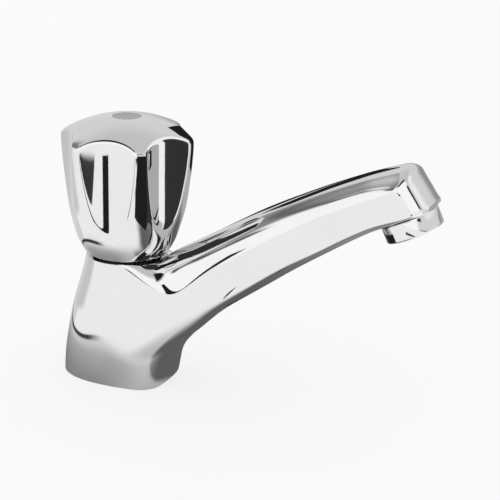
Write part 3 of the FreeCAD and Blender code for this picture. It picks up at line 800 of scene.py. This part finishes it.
def studio_world():
    """Plain white room for the camera and matt surfaces, cloths and flags for the gloss."""
    world = bpy.data.worlds.new("studio")
    world.use_nodes = True
    tree = world.node_tree
    background = tree.nodes["Background"]
    ray = tree.nodes.new("ShaderNodeLightPath").outputs
    way = tree.nodes.new("ShaderNodeTexCoord").outputs["Generated"]
    split = tree.nodes.new("ShaderNodeSeparateXYZ")
    tree.links.new(way, split.inputs[0])
    x, y, z = split.outputs
    elevation = math_node(tree, "ARCSINE", z)
    level = STUDIO_BASE
    for _, azimuth, height, half_width, half_height, soft, brightness in STUDIO_CARDS:
        bearing = math_node(tree, "ARCTAN2", y, x)
        off = math_node(tree, "SUBTRACT", bearing, math.radians(azimuth))
        off = math_node(tree, "PINGPONG", math_node(tree, "ABSOLUTE", off), math.pi)
        rise = math_node(tree, "SUBTRACT", elevation, math.radians(height))
        rise = math_node(tree, "ABSOLUTE", rise)
        edge = math.radians(soft)
        side, top = math.radians(half_width), math.radians(half_height)
        wide = soft_step(tree, off, side - edge, side + edge, 1, 0)
        tall = soft_step(tree, rise, top - edge, top + edge, 1, 0)
        level = blend_value(tree, product(tree, wide, tall), level, brightness)
    gloss = math_node(tree, "MAXIMUM", ray["Is Glossy Ray"], ray["Is Transmission Ray"])
    tree.links.new(blend_value(tree, gloss, 1.0, level), background.inputs["Color"])
    bpy.context.scene.world = world


FLOOR_RADIUS = 3.0
FLOOR_COLOUR = (0.85, 0.85, 0.85, 1)
FLOOR_ROUGHNESS = 0.9
FLOOR_WHITE_SHARE = 0.75
# Painted shadow disc round the base of the tap, seen only in the gloss: its radius and its middle, in
# metres.
BASE_SHADOW_RADIUS = 0.087
BASE_SHADOW_MIDDLE = (-0.012, 0.024, 0.0)
# The floor's glow in the gloss is a painted reflection: a painted shadow disc round the base with a dark
# rim line, painted shade below the spout, and dark and pale patches further out. Each band gives where
# it starts and ends, in metres or, round the axis, in radians, and then its level at the start and at
# the end where these aren't 0 and 1.
NEAR_GLOW = (0.02, BASE_SHADOW_RADIUS, 0.20, 0.50)
NEAR_SIDE = (-1.95, -0.9, 0.0, 0.16)
NEAR_SIDE_END = (2.2, 3.1, 1, 0)
FAR_EDGE = (BASE_SHADOW_RADIUS - 0.022, BASE_SHADOW_RADIUS + 0.012)
RIM_INSIDE = (BASE_SHADOW_RADIUS - 0.007, BASE_SHADOW_RADIUS - 0.002)
RIM_OUTSIDE = (BASE_SHADOW_RADIUS + 0.001, BASE_SHADOW_RADIUS + 0.004, 1, 0)
RIM_BEHIND = (2.0, 2.45)
RIM_LEVEL = 0.03
FLAG_NEAR_END = (0.081, 0.087)
FLAG_FAR_END = (0.235, 0.245, 1, 0)
FLAG_BACK = (-0.235, -0.225, 1, 0)
FLAG_REACH = (0.34, 0.36, 1, 0)
FLAG_LEVEL = 0.04
SHADE_WIDER = (0.082, 0.105, 0.0, 0.06)
SHADE_NARROWER = (0.045, 0.075, -0.04, 0.0)
SHADE_RIGHT = (-0.085, -0.050)
SHADE_LEFT = (0.12, 0.17, 1, 0)
SHADE_SLANT = 0.35
SHADE_FRONT = (0.0165, 0.0215)
SHADE_FAR_END = (0.12, 0.17, 1, 0)
SHADE_LEVEL = (0.06, 0.125, 0.12, 0.30)
REAR_EDGE = (0.42, 0.50)
FRONT_LEVEL = 0.95
REAR_LEVEL = 0.45
SIDE_EDGE = (1.9, 2.1)
SIDE_LEVEL = 0.7
LEFT_EDGE = (2.75, 3.0)
LEFT_REACH = (0.13, 0.16)
LEFT_LEVEL = 0.62


def floor_distance(tree, place, middle=None):
    """Distance of a place on the floor from the axis, or from a given middle."""
    node = tree.nodes.new("ShaderNodeVectorMath")
    node.operation = "DISTANCE" if middle else "LENGTH"
    tree.links.new(place, node.inputs[0])
    if middle:
        node.inputs[1].default_value = middle
    return node.outputs["Value"]


def floor_shade(tree, x, y):
    """Where the floor lies in shade below the spout."""
    wider = math_node(tree, "ADD", soft_step(tree, x, *SHADE_WIDER), soft_step(tree, x, *SHADE_NARROWER))
    wider = math_node(tree, "ADD", y, wider)
    front = math_node(tree, "MULTIPLY_ADD", y, SHADE_SLANT, x)
    return product(tree, soft_step(tree, wider, *SHADE_RIGHT), soft_step(tree, y, *SHADE_LEFT),
                   soft_step(tree, front, *SHADE_FRONT), soft_step(tree, x, *SHADE_FAR_END))


def painted_floor_reflection(tree):
    """Level of the floor as the gloss sees it: a painted reflection, dark in a painted shadow round the
    base and bright further out.
    """
    place = tree.nodes.new("ShaderNodeTexCoord").outputs["Object"]
    radius = floor_distance(tree, place)
    base_shadow_distance = floor_distance(tree, place, BASE_SHADOW_MIDDLE)
    split = tree.nodes.new("ShaderNodeSeparateXYZ")
    tree.links.new(place, split.inputs[0])
    x, y, _ = split.outputs
    azimuth = math_node(tree, "ARCTAN2", y, x)
    behind = math_node(tree, "ABSOLUTE", azimuth)
    sweep = product(tree, soft_step(tree, azimuth, *NEAR_SIDE), soft_step(tree, azimuth, *NEAR_SIDE_END))
    near = math_node(tree, "ADD", soft_step(tree, base_shadow_distance, *NEAR_GLOW), sweep)
    rim = product(tree, soft_step(tree, base_shadow_distance, *RIM_INSIDE), soft_step(tree, base_shadow_distance, *RIM_OUTSIDE),
                  soft_step(tree, behind, *RIM_BEHIND))
    flag = product(tree, soft_step(tree, x, *FLAG_NEAR_END), soft_step(tree, y, *FLAG_BACK),
                   soft_step(tree, radius, *FLAG_REACH), soft_step(tree, x, *FLAG_FAR_END))
    left = product(tree, soft_step(tree, behind, *LEFT_EDGE), soft_step(tree, radius, *LEFT_REACH))
    outside = blend_value(tree, soft_step(tree, azimuth, *REAR_EDGE), FRONT_LEVEL, REAR_LEVEL)
    outside = blend_value(tree, soft_step(tree, azimuth, *SIDE_EDGE), outside, SIDE_LEVEL)
    outside = blend_value(tree, left, outside, LEFT_LEVEL)
    outside = blend_value(tree, flag, outside, FLAG_LEVEL)
    seen = blend_value(tree, soft_step(tree, base_shadow_distance, *FAR_EDGE), near, outside)
    seen = blend_value(tree, rim, seen, RIM_LEVEL)
    return blend_value(tree, floor_shade(tree, x, y), seen, soft_step(tree, x, *SHADE_LEVEL))


def floor_material():
    """Pale floor for the camera, a painted reflection with painted shade for the gloss, and clear from
    below.
    """
    material = bpy.data.materials.new("pale floor")
    material.use_nodes = True
    tree = material.node_tree
    shader = tree.nodes["Principled BSDF"]
    shader.inputs["Base Color"].default_value = FLOOR_COLOUR
    shader.inputs["Roughness"].default_value = FLOOR_ROUGHNESS
    glow = tree.nodes.new("ShaderNodeEmission")
    tree.links.new(painted_floor_reflection(tree), glow.inputs["Color"])
    white = tree.nodes.new("ShaderNodeEmission")
    clear = tree.nodes.new("ShaderNodeBsdfTransparent")
    ray = tree.nodes.new("ShaderNodeLightPath").outputs
    below = tree.nodes.new("ShaderNodeNewGeometry").outputs["Backfacing"]
    pale = mix_shaders(tree, FLOOR_WHITE_SHARE, shader.outputs[0], white.outputs[0])
    for_camera = mix_shaders(tree, ray["Is Camera Ray"], shader.outputs[0], pale)
    for_gloss = mix_shaders(tree, ray["Is Glossy Ray"], for_camera, glow.outputs[0])
    from_above = mix_shaders(tree, below, for_gloss, clear.outputs[0])
    tree.links.new(from_above, tree.nodes["Material Output"].inputs["Surface"])
    return material


def studio_floor():
    bm = bmesh.new()
    bmesh.ops.create_circle(bm, cap_ends=True, segments=96, radius=FLOOR_RADIUS)
    mesh = bpy.data.meshes.new("floor")
    bm.to_mesh(mesh)
    bm.free()
    floor = bpy.data.objects.new("floor", mesh)
    bpy.context.collection.objects.link(floor)
    mesh.materials.append(floor_material())


# Cloths hung beside the tap, and how bright they look in its gloss.
CLOTH_LEVELS = {"black cloth": 0.015, "dark cloth": 0.035, "white cloth": 1.0}
# Each hung cloth: its middle, width and height in metres, and the way that its front faces.
HUNG_CLOTHS = [
    ("rear_flag", "black cloth", (0.036, 0.08, 0.0835), 0.085, 0.043, -90),
    ("right_flag", "black cloth", (0.075, -0.056, 0.0675), 0.068, 0.045, 180),
    ("right_low_flag", "black cloth", (0.075, -0.0625, 0.0225), 0.055, 0.045, 180),
    # The cloth under the spout is painted shade: a black sheet, seen only in the pillar's gloss, where the
    # floor under the spout lies in shade.
    ("under_spout_painted_shade", "black cloth", (0.048, 0.0, 0.018), 0.080, 0.034, 0),
    ("front_strip", "black cloth", (-0.003, -0.079, 0.062), 0.009, 0.040, 90),
    ("spout_top_flag", "black cloth", (0.052, 0.035, 0.112), 0.080, 0.024, -90),
    ("flute_flag", "dark cloth", (0.036, -0.0138, 0.086), 0.0225, 0.062, 180),
    ("flute_strip", "white cloth", (0.036, -0.0010, 0.086), 0.0030, 0.062, 180),
]


def hung_cloth(name, level):
    """Cloth that glows at one level from its front and is clear from its back."""
    cloth = bpy.data.materials.new(name)
    cloth.use_nodes = True
    tree = cloth.node_tree
    glow = tree.nodes.new("ShaderNodeEmission")
    glow.inputs["Color"].default_value = (level, level, level, 1)
    clear = tree.nodes.new("ShaderNodeBsdfTransparent")
    back = tree.nodes.new("ShaderNodeNewGeometry").outputs["Backfacing"]
    front = mix_shaders(tree, back, glow.outputs[0], clear.outputs[0])
    tree.links.new(front, tree.nodes["Material Output"].inputs["Surface"])
    return cloth


def hang_flag(name, cloth, middle, width, height, facing):
    """Hang a cloth beside the tap, seen only in its gloss and only from its front."""
    bm = bmesh.new()
    bmesh.ops.create_grid(bm, x_segments=1, y_segments=1, size=0.5)
    bmesh.ops.scale(bm, verts=bm.verts, vec=(width, height, 1))
    bmesh.ops.rotate(bm, verts=bm.verts, matrix=Matrix.Rotation(math.pi / 2, 3, "X"))
    bmesh.ops.rotate(bm, verts=bm.verts, matrix=Matrix.Rotation(math.radians(facing + 90), 3, "Z"))
    bmesh.ops.translate(bm, verts=bm.verts, vec=middle)
    mesh = bpy.data.meshes.new(name)
    bm.to_mesh(mesh)
    bm.free()
    flag = bpy.data.objects.new(name, mesh)
    bpy.context.collection.objects.link(flag)
    flag.visible_camera = False
    flag.visible_diffuse = False
    flag.visible_shadow = False
    mesh.materials.append(cloth)


studio_world()
studio_floor()
cloths = {name: hung_cloth(name, level) for name, level in CLOTH_LEVELS.items()}
for name, cloth, middle, width, height, facing in HUNG_CLOTHS:
    hang_flag(name, cloths[cloth], middle, width, height, facing)

camera_data = bpy.data.cameras.new("camera")
camera_data.sensor_width = SENSOR
camera_data.lens = FOCAL_PIXELS * SENSOR / PHOTO_WIDTH
camera = bpy.data.objects.new("camera", camera_data)
bpy.context.collection.objects.link(camera)
right = Vector((math.cos(VIEW_AZIMUTH), math.sin(VIEW_AZIMUTH), 0))
back = Vector((math.sin(VIEW_AZIMUTH) * math.cos(VIEW_ELEVATION),
               -math.cos(VIEW_AZIMUTH) * math.cos(VIEW_ELEVATION), math.sin(VIEW_ELEVATION)))
up = back.cross(right)
aim = right * VIEW_ASIDE + Vector((0, 0, VIEW_HEIGHT))
turned_right = right * math.cos(VIEW_ROLL) + up * math.sin(VIEW_ROLL)
turned_up = up * math.cos(VIEW_ROLL) - right * math.sin(VIEW_ROLL)
camera.matrix_world = Matrix.Translation(aim + back * VIEW_DISTANCE) @ Matrix(
    (turned_right, turned_up, back)).transposed().to_4x4()
bpy.context.scene.camera = camera
bpy.context.scene.view_settings.view_transform = "Standard"
